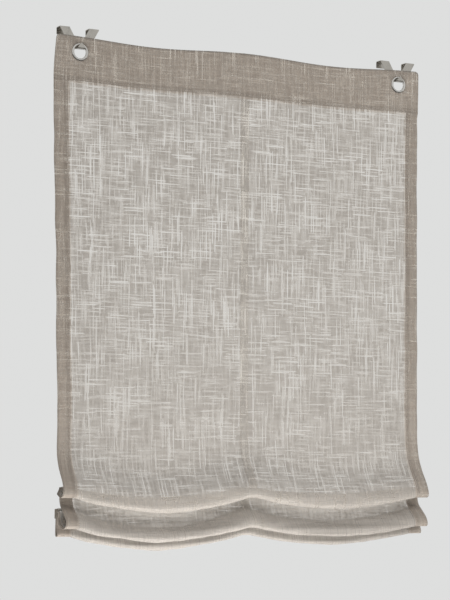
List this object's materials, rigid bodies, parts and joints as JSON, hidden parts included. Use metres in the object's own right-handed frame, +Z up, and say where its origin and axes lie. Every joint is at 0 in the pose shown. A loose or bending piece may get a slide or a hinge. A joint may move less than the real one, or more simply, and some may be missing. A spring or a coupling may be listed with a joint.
{
  "type": "roman blind",
  "caption": "Sheer roman blind without a cord in view: a slubbed cloth gathered in soft pleats below, held by eyelets on two steel hooks that reach over a window sash.",
  "frame": {"origin": "midway between the two window hooks, on the top edge of the window sash at its front face", "axes": "+X along the blind to its right as seen from the room, the room is on the -Y side, +Z up"},
  "size_m": [0.8, 0.0669, 0.9949],
  "materials": {
    "cloth": "semi-sheer linen-look weave",
    "eyelet_metal": "polished nickel plate",
    "hook_steel": "polished stamped sheet",
    "tape": "sheer woven tape",
    "ring_plastic": "clear moulded plastic"
  },
  "bodies": {
    "root": {"blind_cloth": "cloth", "eyelet_left": "eyelet_metal", "eyelet_right": "eyelet_metal", "eyelet_washer_left": "eyelet_metal", "eyelet_washer_right": "eyelet_metal", "window_hook_left": "hook_steel", "window_hook_right": "hook_steel", "gather_tape_left": "tape", "gather_tape_centre": "tape", "gather_tape_right": "tape", "ring_left_1": "ring_plastic", "ring_left_2": "ring_plastic", "ring_left_3": "ring_plastic", "ring_left_4": "ring_plastic", "ring_left_5": "ring_plastic", "ring_left_6": "ring_plastic", "ring_left_7": "ring_plastic", "ring_left_8": "ring_plastic", "ring_centre_1": "ring_plastic", "ring_centre_2": "ring_plastic", "ring_centre_3": "ring_plastic", "ring_centre_4": "ring_plastic", "ring_centre_5": "ring_plastic", "ring_centre_6": "ring_plastic", "ring_centre_7": "ring_plastic", "ring_centre_8": "ring_plastic", "ring_right_1": "ring_plastic", "ring_right_2": "ring_plastic", "ring_right_3": "ring_plastic", "ring_right_4": "ring_plastic", "ring_right_5": "ring_plastic", "ring_right_6": "ring_plastic", "ring_right_7": "ring_plastic", "ring_right_8": "ring_plastic"}
  },
  "joints": []
}
